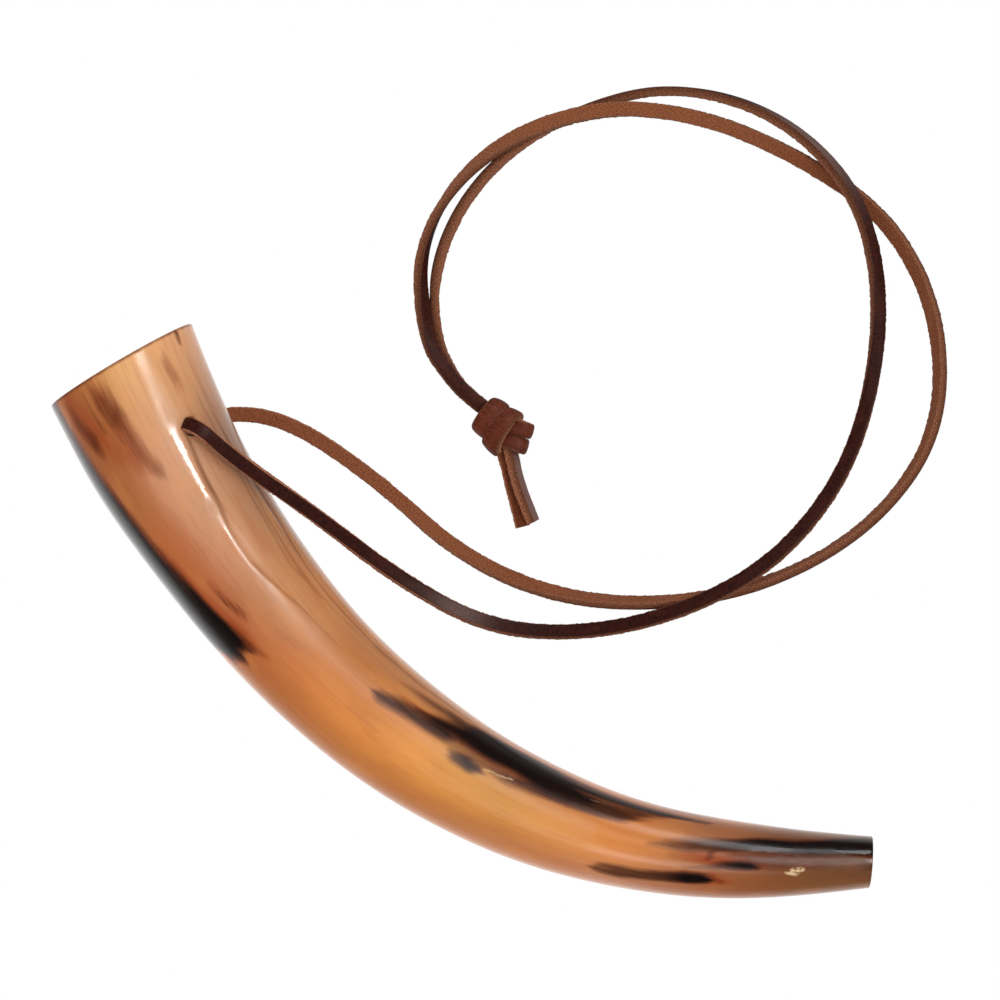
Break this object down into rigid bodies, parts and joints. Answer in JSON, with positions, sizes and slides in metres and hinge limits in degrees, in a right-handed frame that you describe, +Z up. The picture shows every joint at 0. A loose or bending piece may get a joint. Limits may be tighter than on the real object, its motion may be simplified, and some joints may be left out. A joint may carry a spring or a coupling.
{
  "type": "shofar",
  "caption": "Curved natural-horn trumpet lying on its side, hollow bell tapering to a cup mouthpiece, with a knotted flat leather carrying lace through two holes.",
  "frame": {"origin": "bottom centre of the horn's own box, on the surface that it lies on", "axes": "+X along the bell's axis from the mouth inwards, +Y the side that the horn curves towards, +Z up from the surface it lies on"},
  "size_m": [0.2824, 0.2802, 0.0522],
  "materials": {
    "horn": "polished natural horn, translucent orange tan with dark brown streaks",
    "lace": "dark brown leather, smooth grain side, rough lighter flesh side and edges"
  },
  "bodies": {
    "root": {"horn": "horn", "lace_front_strand": "lace", "lace_rear_strand": "lace", "lace_inner_span": "lace", "lace_knot": "lace", "lace_tail_left": "lace", "lace_tail_right": "lace"}
  },
  "joints": []
}
